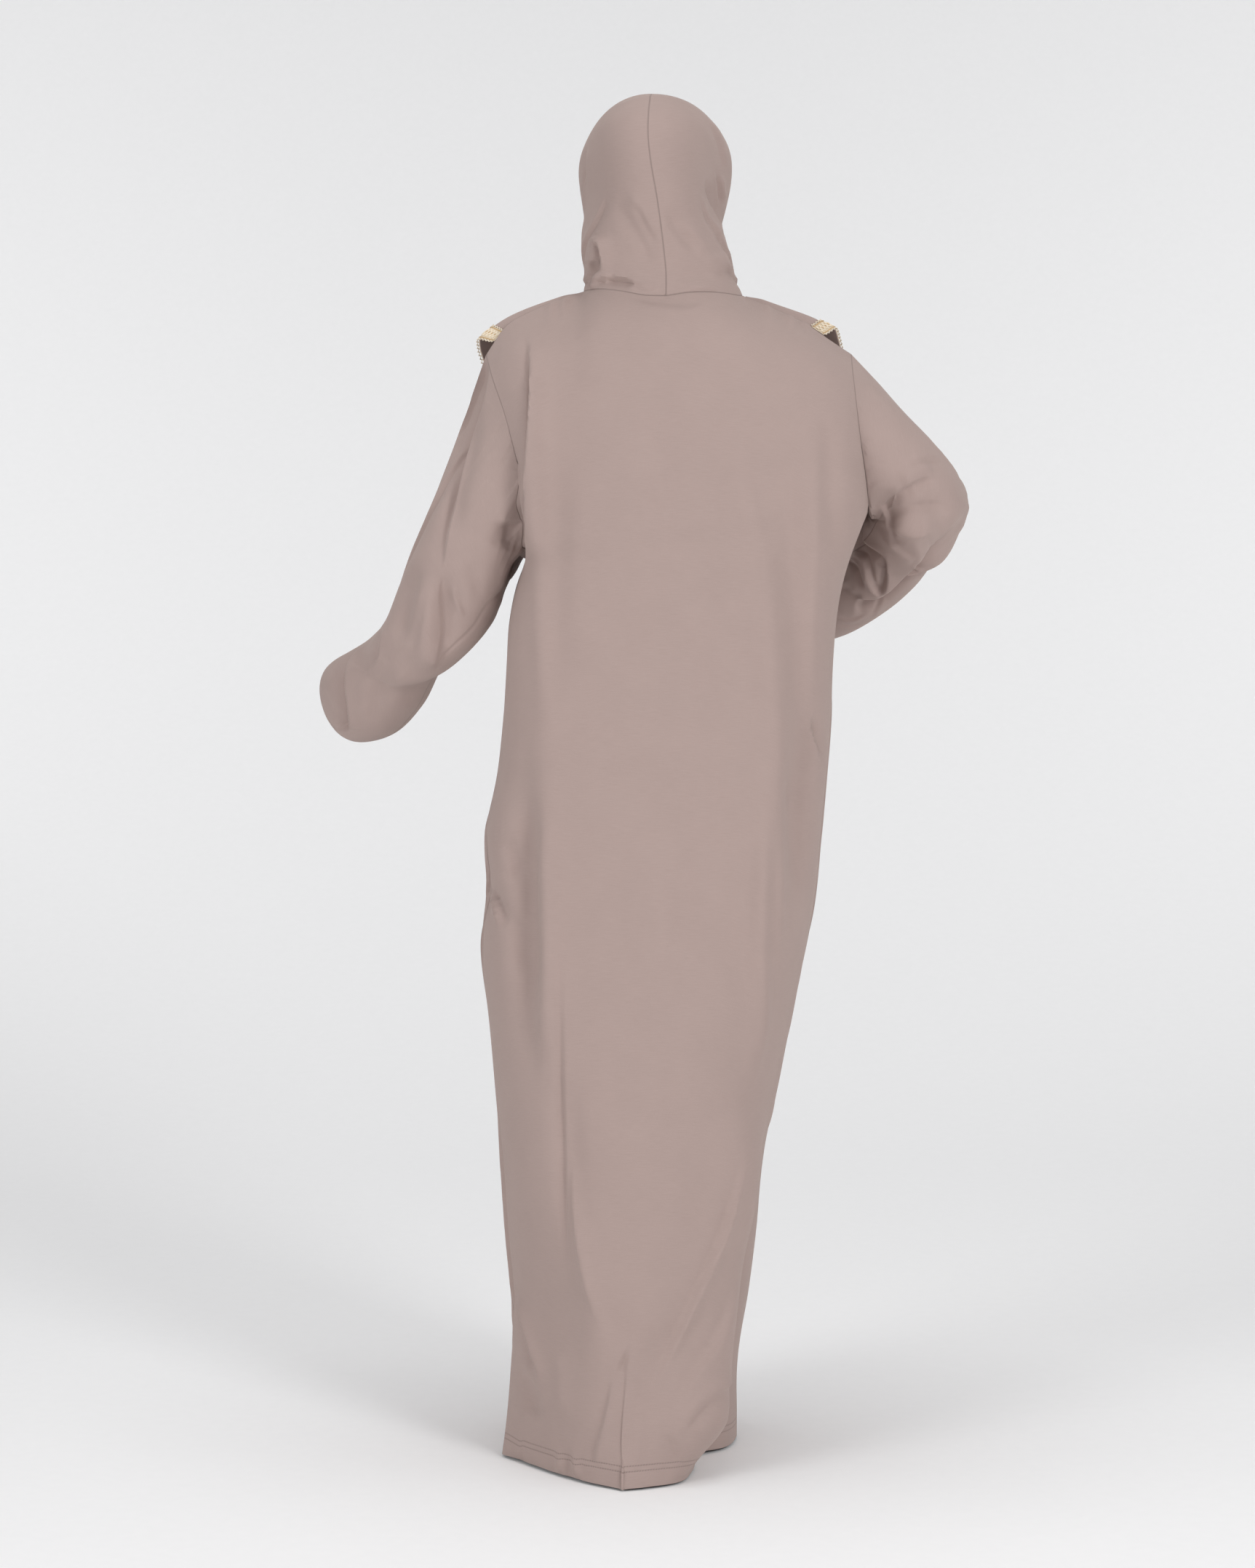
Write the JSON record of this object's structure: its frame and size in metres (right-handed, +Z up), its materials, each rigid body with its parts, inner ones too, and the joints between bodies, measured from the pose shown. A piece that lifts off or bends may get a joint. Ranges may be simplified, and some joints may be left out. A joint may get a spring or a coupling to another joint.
{
  "type": "prayer dress",
  "caption": "Loose hooded prayer dress of cotton jersey, full length with long sleeves and a short braid-edged front cape, hollow, in the shape it takes when worn.",
  "frame": {"origin": "centre of the base of the neck, level with the top of the shoulders, where the wearer carries the dress", "axes": "+Z up, from the hem towards the hood; the garment's front faces -Y; its left side is at +X"},
  "size_m": [0.8054, 0.4743, 1.6493],
  "materials": {
    "cotton_jersey": "matt taupe cotton jersey",
    "gimp_braid": "cream and gold-tan gimp braid"
  },
  "bodies": {
    "root": {"back_panel": "cotton_jersey", "front_panel": "cotton_jersey", "sleeve_left": "cotton_jersey", "sleeve_right": "cotton_jersey", "hood_left": "cotton_jersey", "hood_right": "cotton_jersey", "front_cape": "cotton_jersey", "cape_braid": "gimp_braid"}
  },
  "joints": []
}
